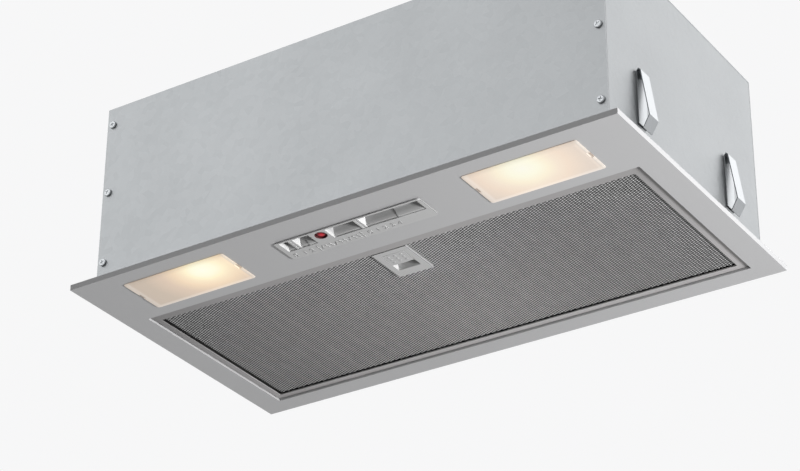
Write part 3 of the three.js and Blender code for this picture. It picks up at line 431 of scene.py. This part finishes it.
def glow_look(side):
    """Frosted cover lit from behind: near white at the bulb's tip, cooler and duller away."""
    cover = COVERS[side]
    low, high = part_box(f"lamp_cover_{side}")
    tip_x, tip_y = (value * MM for value in cover["tip"])
    left_pull, right_pull = cover["pull"]
    reach = cover["tones"][-1][0]
    stops = [(mm / reach, tuple(max(level - cover["shade"], 0.0) for level in srgb(code)))
             for mm, code in cover["tones"]]

    def build(graph):
        x, y = graph.axes("XY")
        offset = (x - tip_x) / (reach * MM)
        away = distance((offset * right_pull).larger(offset * -left_pull),
                        (y - tip_y) / (reach * MM))
        cloud = graph.noise(70, detail=1.0)
        lit = graph.ramp(away + cloud.swing(0.03), stops)
        # painted light on the left and rear rims, painted shade on the right and front ones
        far_rims = x.near(low[0], *LEFT_RIM).larger(y.near(high[1], *REAR_RIM))
        lit = graph.blend(far_rims * 0.2, lit, (0.75, 0.74, 0.72))
        lit = graph.blend(x.near(high[0], *RIGHT_RIM) * 0.5, lit, (0.22, 0.2, 0.18))
        lit = graph.blend(y.near(low[1], *FRONT_RIM) * 0.18, lit, (0.25, 0.2, 0.16))
        # painted shade in the pry notches: a darker, browner skin and a dimmer glow
        row = y.near(PRY_ROW, *NOTCH_FRONT) * y.near(PRY_ROW, *NOTCH_REAR)
        notch = row * x.near(low[0], *NOTCH_LEFT).larger(x.near(high[0], *NOTCH_RIGHT))
        grain = graph.noise(900)
        skin = graph.blend(grain, srgb("97938D"), srgb("A29E98"))
        return {"base_color": graph.blend(notch, skin, srgb("95877C")),
                "roughness": 0.34 + grain * 0.1,
                "emission_color": graph.blend(notch * 0.6, lit, (0.02, 0.015, 0.01)),
                "normal": graph.bump(grain, depth=0.02, strength=0.5)}
    return build


def hot_glass_look(graph):
    """Bulb envelope: faint warm haze."""
    haze = graph.noise(60)
    return {"base_color": graph.blend(haze, srgb("FFF1D2"), srgb("FFF8E6")),
            "roughness": 0.06 + haze * 0.06}


def lens_look(graph):
    """Domed red lens: painted glow, bright over the lamp's tip, fading to painted shade, almost
    black, where it meets its well.
    """
    away, radius = from_lens(graph)
    haze = graph.noise(500)
    colour = graph.ramp(away / radius + haze.swing(0.05), LENS_STOPS)
    return {"base_color": colour, "roughness": 0.3 + haze * 0.1, "emission_color": colour}


# ---------------------------------------------------------------- finishes and who wears them
FINISHES = {
    "paint": finish("metallic_paint", paint_look, metallic=0.25),
    "frame_paint_and_shade": finish("frame_paint_and_shade", frame_shade_and_paint_look, metallic=0.25),
    "galvanised": finish("zinc_spangle", galvanised_look, metallic=0.55),
    # painted light and shade: each profile gives the level along the filter from its left end to
    # its right, and the falling strands are painted dark as shade
    "strands_rising": finish("bare_mesh", strand_look("B0B0B0", "DCDCDC", (
        (0.0, 0.54), (0.25, 0.71), (0.5, 0.9), (0.62, 0.8), (0.78, 0.5), (1.0, 0.4))),
        metallic=0.35),
    "strands_falling": finish("falling_mesh_in_painted_shade", strand_look("525252", "6E6E6E", (
        (0.0, 0.6), (0.5, 0.8), (0.65, 0.9), (0.8, 1.0), (1.0, 1.0))), metallic=0.2),
    "knots": finish("mesh_knots", strand_look("B4B4B4", "E4E4E4", (
        (0.0, 0.82), (0.5, 1.0), (0.65, 0.95), (0.8, 1.0), (1.0, 1.0))), metallic=0.35),
    "back_mesh": finish("lattice_mesh", lattice_look, metallic=0.4),
    "foil": finish("crimped_foil", foil_look, metallic=0.3),
    "trim": finish("grey_moulding", plastic_look(*TRIM_TONES)),
    "bezel": finish("bezel_moulding_in_painted_shade", trim_look),
    "latch": finish("latch_moulding", latch_look),
    # the raised marks, darker than the bezel round them
    "marks": finish("darker_mark_moulding", plastic_look("979797", "A8A8A8")),
    "black": finish("black_moulding", plastic_look("2A2B2C", "38393A", 900, 0.04, 0.5)),
    "pale": finish("pale_moulding", plastic_look("DEDCD4", "EAE8E1")),
    "holder": finish("holder_moulding", plastic_look("E2DFD6", "EFEDE6", 700, 0.04, 0.5)),
    "enamel": finish("white_enamel", skin_look(
        "E6E4DE", "F3F1EB", scale=20, detail=2.0, rough=0.25, spread=0.1, depth=0.02,
        strength=0.4, grain=500), coat_weight=0.3),
    "steel": finish("drawn_steel", bright_steel_look, metallic=0.85),
    "cast": finish("die_casting", skin_look(
        "9FA1A3", "BDBFC0", scale=900, detail=3.0, rough=0.45, spread=0.15, depth=0.05,
        strength=0.6), metallic=0.7),
    "brass": finish("lamp_brass", skin_look(
        "B4934E", "D9BF7C", scale=70, detail=4.0, rough=0.28, spread=0.2, depth=0.02,
        strength=0.4, grain=900), metallic=0.9),
    "rubber": finish("soft_rubber", skin_look(
        "1C1C1D", "2A2A2B", scale=1100, detail=2.0, rough=0.7, spread=0.15, depth=0.04,
        strength=0.5)),
    "glass": finish("bulb_glass", hot_glass_look, transmission_weight=0.85, ior=1.45),
    "lens": finish("red_lens", lens_look, specular_ior_level=0.12, emission_strength=0.2),
    "glow_left": finish("frosted_cover_left", glow_look("left"), emission_strength=1.0),
    "glow_right": finish("frosted_cover_right", glow_look("right"), emission_strength=1.0),
}

SPRING_CLIPS = ["spring_clip_left_front", "spring_clip_left_rear", "spring_clip_right_front",
                "spring_clip_right_rear"]
NODE_FINISH = {
    "paint": ["base_plate"],
    "frame_paint_and_shade": ["filter_frame"],
    "galvanised": ["body_shell", "side_panel_left", "side_panel_right", "bay_cover",
                   "motor_bracket"],
    "back_mesh": ["filter_back_mesh"],
    "strands_rising": ["filter_face_mesh"],
    "foil": ["filter_layer_lower", "filter_layer_upper"],
    "trim": ["light_slider", "speed_slider", "latch_slider"],
    "latch": ["latch_housing"],
    "bezel": ["switch_bezel"],
    "black": ["switch_base", "scroll_half_left", "scroll_half_right", "impeller_disc",
              "impeller_cage_left", "impeller_cage_right", "outlet_collar",
              "damper_flap_front", "damper_flap_rear", "terminal_box", "terminal_lid",
              "cable_gland"],
    "pale": ["light_switch", "speed_switch", "capacitor"],
    "holder": ["lampholder_left", "lampholder_right"],
    "enamel": ["lamp_tray_left", "lamp_tray_right"],
    "steel": [*SPRING_CLIPS, "latch_spring_left", "latch_spring_right", "motor_can",
              "motor_shaft", "impeller_nut", "damper_pin", "capacitor_clip"],
    "cast": ["motor_end_cap"],
    "brass": ["bulb_cap_left", "bulb_cap_right"],
    "rubber": ["rubber_mount_top", "rubber_mount_front", "rubber_mount_rear"],
    "glass": ["bulb_glass_left", "bulb_glass_right", "indicator_lamp"],
    "lens": ["indicator_lens"],
    "glow_left": ["lamp_cover_left"],
    "glow_right": ["lamp_cover_right"],
}


def wear(piece, look):
    piece.data.materials.clear()
    piece.data.materials.append(FINISHES[look])


for look, names in NODE_FINISH.items():
    for name in names:
        wear(nodes[name], look)


# ---------------------------------------------------------------- modelling helpers
def deselect():
    bpy.ops.object.select_all(action="DESELECT")


def take(*pieces):
    """Selects the pieces and makes the first one active."""
    deselect()
    for piece in pieces:
        piece.select_set(True)
    bpy.context.view_layer.objects.active = pieces[0]


def still(*pieces):
    """Puts the pieces' places, turns and scales into their meshes."""
    take(*pieces)
    bpy.ops.object.transform_apply(location=True, rotation=True, scale=True)


def joined(pieces):
    still(*pieces)
    bpy.ops.object.join()
    return bpy.context.object


def settle(piece, name, body, look):
    """Finishes a piece: its place goes into its mesh, and it gets a name, body, slot and look."""
    still(piece)
    piece.name = name
    piece.data.name = name
    wear(piece, look)
    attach(piece, body)
    deselect()


def modify(piece, kind, **settings):
    """Adds a modifier and applies it."""
    take(piece)
    modifier = piece.modifiers.new(kind.lower(), kind)
    for key, setting in settings.items():
        setattr(modifier, key, setting)
    bpy.ops.object.modifier_apply(modifier=modifier.name)


def array(piece, count, offset):
    modify(piece, "ARRAY", count=count, use_relative_offset=False, use_constant_offset=True,
           constant_offset_displace=offset, use_merge_vertices=True, merge_threshold=0.02 * MM)


def trim(piece, low, high):
    """Cuts a piece to a rectangle in X and Y, closing the cut ends."""
    take(piece)
    bpy.ops.object.mode_set(mode="EDIT")
    for corner, inner in ((low, True), (high, False)):
        for axis in (0, 1):
            normal = Vector((1 - axis, axis, 0))
            bpy.ops.mesh.select_all(action="SELECT")
            bpy.ops.mesh.bisect(plane_co=normal * corner[axis], plane_no=normal, use_fill=True,
                                clear_inner=inner, clear_outer=not inner)
    bpy.ops.object.mode_set(mode="OBJECT")


def copy_of(piece):
    twin = piece.copy()
    twin.data = piece.data.copy()
    bpy.context.scene.collection.objects.link(twin)
    return twin


# ---------------------------------------------------------------- expanded mesh
# Openings are long diamonds. Strands run both ways round them, and the rising ones stand proud.
OPENING_STEP = Vector((0.0, 2.556, 0)) * MM  # from one opening to the next behind it
RISING = Vector((2.688, -1.24, 0)) * MM  # along a rising strand, from knot to knot
FALLING = RISING + OPENING_STEP  # along a falling strand
STRANDS = {  # direction, then half width, half height and height over the sheet in mm, and waist
    "rising": (RISING, 0.58, 0.26, -0.06, 0.68),
    "falling": (FALLING, 0.40, 0.18, 0.10, 1.0),
}
KNOT_WIDTH, KNOT_LENGTH, KNOT_DEPTH, KNOT_HEIGHT = 0.5 * MM, 1.1 * MM, 0.2 * MM, -0.1 * MM
SPARE_CELLS = 6  # beyond the rectangle, for the cut
MESH_LEFT, MESH_FRONT, MESH_REAR = 8.2 * MM, 4 * MM, 6.3 * MM  # bare strip round the mesh
LATCH_GAP = 0.3 * MM


def strand_cell(direction, half_width, half_height, height, waist):
    """One opening's length of a three-sided strand, wide at its ends and narrow at its waist."""
    bpy.ops.mesh.primitive_cylinder_add(vertices=3, radius=half_width, depth=direction.length,
                                        end_fill_type="NOTHING", rotation=(math.pi / 2, 0, 0))
    cell = bpy.context.object
    still(cell)
    bpy.ops.object.mode_set(mode="EDIT")
    bpy.ops.mesh.select_all(action="SELECT")
    bpy.ops.transform.resize(value=(1, 1, half_height / half_width))
    if waist < 1:
        bpy.ops.mesh.bisect(plane_co=(0, 0, 0), plane_no=(0, 1, 0))
        bpy.ops.transform.resize(value=(waist, 1, 1))
    bpy.ops.object.mode_set(mode="OBJECT")
    cell.rotation_euler = (0, 0, math.atan2(direction.y, direction.x) - math.pi / 2)
    cell.location = direction / 2 + Vector((0, 0, height))
    still(cell)
    return cell


def knot_cell(height):
    """A low pyramid on a strands' crossing."""
    bpy.ops.mesh.primitive_cone_add(vertices=4, radius1=1, radius2=0, depth=KNOT_DEPTH,
                                    end_fill_type="NGON")
    knot = bpy.context.object
    knot.scale = (KNOT_WIDTH, KNOT_LENGTH, 1)
    knot.location = (0, 0, height)
    still(knot)
    return knot


def fill(cell, direction, low, high):
    """Repeats a cell along its strand and from opening to opening, past low and high."""
    span = high - low
    lean = direction.y / direction.x
    array(cell, int(span.x / direction.x) + SPARE_CELLS, direction)
    array(cell, int((span.y + abs(lean) * span.x) / OPENING_STEP.y) + SPARE_CELLS, OPENING_STEP)
    drop = min(0.0, -lean) * span.x
    cell.location = (low.x - 2 * direction.x, low.y - 3 * OPENING_STEP.y + drop, 0)
    still(cell)


def face_mesh():
    """The filter's visible mesh, round the latch, in place of the plain sheet."""
    low, high = (Vector(corner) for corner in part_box("filter_face_mesh"))
    middle = (low.z + high.z) / 2
    low = Vector((Vector(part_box("filter_frame")[0]).x + MESH_LEFT, low.y + MESH_FRONT, 0))
    high = Vector((high.x, high.y - MESH_REAR, 0))
    latch_low, latch_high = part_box("latch_housing")
    left, right = latch_low[0] - LATCH_GAP, latch_high[0] + LATCH_GAP
    regions = (
        (low, Vector((left, high.y, 0))),
        (Vector((right, low.y, 0)), high),
        (Vector((left, latch_high[1] + LATCH_GAP, 0)), Vector((right, high.y, 0))),
    )
    sheets = {}
    for label, (direction, half_width, half_height, height, waist) in STRANDS.items():
        cell = strand_cell(direction, half_width * MM, half_height * MM, middle + height * MM,
                           waist)
        fill(cell, direction, low, high)
        sheets[f"strands_{label}"] = (f"mesh_{label}", cell)
    knots = knot_cell(middle + KNOT_HEIGHT)
    fill(knots, RISING, low, high)
    sheets["knots"] = ("mesh_knots", knots)
    for look, (name, sheet) in sheets.items():
        parts = []
        for corner_low, corner_high in regions:
            part = copy_of(sheet)
            trim(part, corner_low, corner_high)
            parts.append(part)
        bpy.data.objects.remove(sheet)
        piece = joined(parts)
        settle(piece, name, "filter", look)
        if look == "strands_rising":
            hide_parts("filter_face_mesh")


face_mesh()


# ---------------------------------------------------------------- switch marks
MARKS = (("0", -63.7), ("1", -54.6), ("2", -47.7),
         ("0", 8.6), ("1", 16.2), ("2", 23.0), ("3", 30.2), ("4", 37.0))  # figure and x in mm
DIVIDERS = (-41.2, 1.4)
RIB_ROW = [-37.6 + 4.4 * i for i in range(9)]  # slanted ribs between the dividers
MARK_ROW = 5.4 * MM  # from the bezel's rear edge
MARK_HEIGHT = 0.22 * MM
MARK_BEVEL, RIB_BEVEL = 0.12 * MM, 0.8 * MARK_HEIGHT
FIGURE_SIZE = 7.4 * MM
DIVIDER_SIZE = (9.6, 0.9)  # length and width in mm
RIB_SIZE = (5.4, 1.3)
RIB_LEANS = (24, -20, -20)  # degrees, over and over


def figure(text, x, row, face):
    bpy.ops.object.text_add(location=(x * MM, row, face), rotation=(math.pi, 0, 0))
    mark = bpy.context.object
    mark.data.body = text
    mark.data.size = FIGURE_SIZE
    mark.data.align_x = "CENTER"
    mark.data.align_y = "CENTER"
    mark.data.extrude = MARK_HEIGHT - MARK_BEVEL
    mark.data.bevel_depth = MARK_BEVEL
    mark.data.bevel_resolution = 0
    mark.data.resolution_u = 3
    take(mark)
    bpy.ops.object.convert(target="MESH")
    return bpy.context.object


def rib(x, row, face, size, lean):
    """A low bar on the bezel's face, its top narrower than its foot."""
    length, width = size
    bpy.ops.mesh.primitive_cube_add(size=1, location=(x * MM, row, face),
                                    rotation=(0, 0, math.radians(lean)))
    bar = bpy.context.object
    bar.scale = (width * MM, length * MM, 2 * MARK_HEIGHT)
    bpy.ops.object.transform_apply(location=False, rotation=False, scale=True)
    modify(bar, "BEVEL", width=RIB_BEVEL, segments=2)
    return bar


def raised_marks():
    """Figures, dividers and slanted ribs moulded on the bezel behind the slots."""
    low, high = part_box("switch_bezel")
    face = low[2]
    row = high[1] - MARK_ROW
    pieces = [figure(text, x, row, face) for text, x in MARKS]
    pieces += [rib(x, row, face, DIVIDER_SIZE, 0) for x in DIVIDERS]
    pieces += [rib(x, row, face, RIB_SIZE, RIB_LEANS[i % 3]) for i, x in enumerate(RIB_ROW)]
    settle(joined(pieces), "switch_marks", "hood", "marks")


raised_marks()


# ---------------------------------------------------------------- screws
HEAD_HEIGHT, HEAD_ROUNDING = 0.55, 0.45  # parts of the head's radius and of its height
RECESS = (1.1, 0.22, 0.7)  # the cross's length and width, parts of the radius, and its depth
FIRST_TURN, NEXT_TURN = 0.3, 0.7  # how each screw came to rest
BODY_SCREW, COLLAR_SCREW, BLOWER_SCREW = 3.4 * MM, 2.6 * MM, 3.0 * MM  # radii of the heads
SIDE_SCREW_HEIGHTS = (22, 90, 158)  # mm, as are the places below
TOP_SCREW_ROWS = (-95, 0, 95)
FLANGE_INSET = 6  # from the body's edge to its screws
WALL_STEP = 1.3  # from the side panels' front and rear edges out to the body's walls
COLLAR_FLANGE, COLLAR_SCREW_CIRCLE = 2, 63.5  # thickness and radius
BLOWER_SCREWS_X, BLOWER_SCREWS_Y = 53, (-1.5, 121.5)


def pan_head(radius):
    """A pan-head screw's head along +Z with a cross recess, standing on the plane z = 0."""
    tall = HEAD_HEIGHT * radius
    bpy.ops.mesh.primitive_cylinder_add(vertices=20, radius=radius, depth=tall,
                                        location=(0, 0, tall / 2))
    head = bpy.context.object
    still(head)
    modify(head, "BEVEL", width=HEAD_ROUNDING * tall, segments=3, limit_method="ANGLE",
           angle_limit=math.radians(60))
    for turn in (0, math.pi / 2):
        bpy.ops.mesh.primitive_cube_add(size=1, location=(0, 0, tall), rotation=(0, 0, turn))
        blade = bpy.context.object
        blade.scale = (RECESS[0] * radius, RECESS[1] * radius, RECESS[2] * tall)
        still(blade)
        modify(head, "BOOLEAN", object=blade, solver="EXACT")
        bpy.data.objects.remove(blade)
    return head


def screws(name, radius, places):
    """Copies of one head at each (point in mm, outward direction), joined as one piece."""
    pattern = pan_head(radius)
    heads = []
    for i, (point, outward) in enumerate(places):
        head = copy_of(pattern)
        tighten = Matrix.Rotation(NEXT_TURN * i + FIRST_TURN, 4, "Z")
        upright = Vector(outward).to_track_quat("Z", "Y").to_matrix().to_4x4()
        head.matrix_world = Matrix.Translation(Vector(point) * MM) @ upright @ tighten
        heads.append(head)
    bpy.data.objects.remove(pattern)
    settle(joined(heads), name, "hood", "steel")


body_high = [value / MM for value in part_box("body_shell")[1]]
flange_x, top_z = body_high[0] - FLANGE_INSET, body_high[2]
wall_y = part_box("side_panel_left")[1][1] / MM + WALL_STEP
body_screws = [((side * flange_x, way * wall_y, z), (0, way, 0))
               for side in (-1, 1) for way in (-1, 1) for z in SIDE_SCREW_HEIGHTS]
body_screws += [((side * flange_x, y, top_z), (0, 0, 1))
                for side in (-1, 1) for y in TOP_SCREW_ROWS]
screws("body_screws", BODY_SCREW, body_screws)

collar_low, collar_high = ([value / MM for value in corner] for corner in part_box("outlet_collar"))
collar_y = (collar_low[1] + collar_high[1]) / 2
shoulder_z = collar_low[2] + COLLAR_FLANGE
screws("collar_screws", COLLAR_SCREW, [
    ((COLLAR_SCREW_CIRCLE * math.cos(angle), collar_y + COLLAR_SCREW_CIRCLE * math.sin(angle),
      shoulder_z), (0, 0, 1))
    for angle in (math.radians(45 + 90 * i) for i in range(4))])
screws("blower_screws", BLOWER_SCREW, [
    ((side * BLOWER_SCREWS_X, y, top_z), (0, 0, 1)) for side in (-1, 1) for y in BLOWER_SCREWS_Y])


# ---------------------------------------------------------------- latch springs
for side in ("left", "right"):
    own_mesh(nodes[f"latch_spring_{side}"])


# ---------------------------------------------------------------- room and light
BACKDROP = (0.93, 0.93, 0.935)
LIGHT_ABOVE, LIGHT_BELOW = 0.85, 0.12
LIGHT_RISE = (0.3, 0.8)  # heights on the sky between which it grows
FLOOR_Z, FLOOR_SIZE = -1.6, 16
FLOOR_FADE = (2.5, 7.5)  # radii between which the floor fades into the backdrop
FLOOR_GLOW = 0.8  # share of the seen floor that no lamp changes
FLOOR_DULL = (0.12, 0.12, 0.12)  # what it throws back up
UNDERSIDE = ("base_plate", "switch_bezel", "filter_frame", "latch_housing", "latch_slider",
             "light_slider", "speed_slider", "lamp_cover_left", "lamp_cover_right",
             "indicator_lens")
BODY_SIDES = ("body_shell", "side_panel_left", "side_panel_right", "outlet_collar",
              "cable_gland", "body_screws", *SPRING_CLIPS)
LAMPS = (  # name, place, target, size, power and the pieces that it leaves dark
    ("window_right", (1.7, 0.02, -0.655), (0, 0, 0), (0.8, 0.28), 63.0, BODY_SIDES),
    ("room_front", (-1.4, -1.6, 1.2), (0, 0, 0.1), (3.0, 2.4), 32.0, UNDERSIDE),
    ("room_back", (1.4, 1.6, 1.2), (0, 0, 0.1), (3.0, 2.4), 32.0, UNDERSIDE),
)


def seen_rays(graph):
    """1 for rays that show the background itself, in view, in metal or through glass."""
    camera, glossy, through = (
        graph.node("ShaderNodeLightPath", output=name)
        for name in ("Is Camera Ray", "Is Glossy Ray", "Is Transmission Ray"))
    return (camera + glossy + through).clamped()


def room():
    """Soft light all round, stronger from above, in front of a pale backdrop."""
    world = bpy.data.worlds.new("room")
    bpy.context.scene.world = world
    world.use_nodes = True
    graph = Graph(world.node_tree)
    direction = graph.node("ShaderNodeTexCoord", output="Generated")
    height = graph.node("ShaderNodeSeparateXYZ", None, direction, output="Z")
    level = height.between(*LIGHT_RISE) * (LIGHT_ABOVE - LIGHT_BELOW) + LIGHT_BELOW
    ambient = graph.node("ShaderNodeBackground", None, (1.0, 1.0, 1.0), level)
    backdrop = graph.node("ShaderNodeBackground", None, BACKDROP, 1.0)
    shown = graph.node("ShaderNodeMixShader", None, seen_rays(graph), ambient, backdrop)
    graph.node("ShaderNodeOutputWorld", None, shown)


def floor():
    """Pale floor that keeps the hood's shadow, throws little light up and fades out far away."""
    bpy.ops.mesh.primitive_plane_add(size=FLOOR_SIZE, location=(0, 0, FLOOR_Z))
    ground = bpy.context.object
    ground.name = "floor"
    material = bpy.data.materials.new("pale_floor")
    material.use_nodes = True
    graph = Graph(material.node_tree)
    away = distance(*graph.axes("XY"))
    speckle = graph.blend(graph.noise(30), srgb("EAEAEA"), srgb("F0F0F0"))
    lit = graph.node("ShaderNodeBsdfDiffuse", None, speckle)
    pale = graph.node("ShaderNodeEmission", None, (1.0, 1.0, 1.0), 1.0)
    shown = graph.node("ShaderNodeMixShader", None, FLOOR_GLOW, lit, pale)
    dull = graph.node("ShaderNodeBsdfDiffuse", None, FLOOR_DULL)
    surface = graph.node("ShaderNodeMixShader", None, seen_rays(graph), dull, shown)
    clear = graph.node("ShaderNodeBsdfTransparent")
    under = graph.node("ShaderNodeNewGeometry", output="Backfacing")
    gone = (under + away.between(*FLOOR_FADE)).clamped()
    faded = graph.node("ShaderNodeMixShader", None, gone, surface, clear)
    graph.node("ShaderNodeOutputMaterial", None, faded)
    ground.data.materials.append(material)
    deselect()


def lamp(name, place, target, size, power, shaded):
    """A soft rectangular lamp. A flag keeps its light off the shaded pieces."""
    data = bpy.data.lights.new(name, "AREA")
    data.shape = "RECTANGLE"
    data.size, data.size_y = size
    data.energy = power
    lamp_object = bpy.data.objects.new(name, data)
    bpy.context.scene.collection.objects.link(lamp_object)
    lamp_object.location = place
    aim = Vector(target) - Vector(place)
    lamp_object.rotation_euler = aim.to_track_quat("-Z", "Y").to_euler()
    lamp_object.visible_camera = False
    flag = bpy.data.collections.new(f"{name}_flag")
    for piece in shaded:
        flag.objects.link(bpy.data.objects[piece])
    lamp_object.light_linking.receiver_collection = flag
    for member in flag.collection_objects:
        member.light_linking.link_state = "EXCLUDE"


room()
floor()
for settings in LAMPS:
    lamp(*settings)
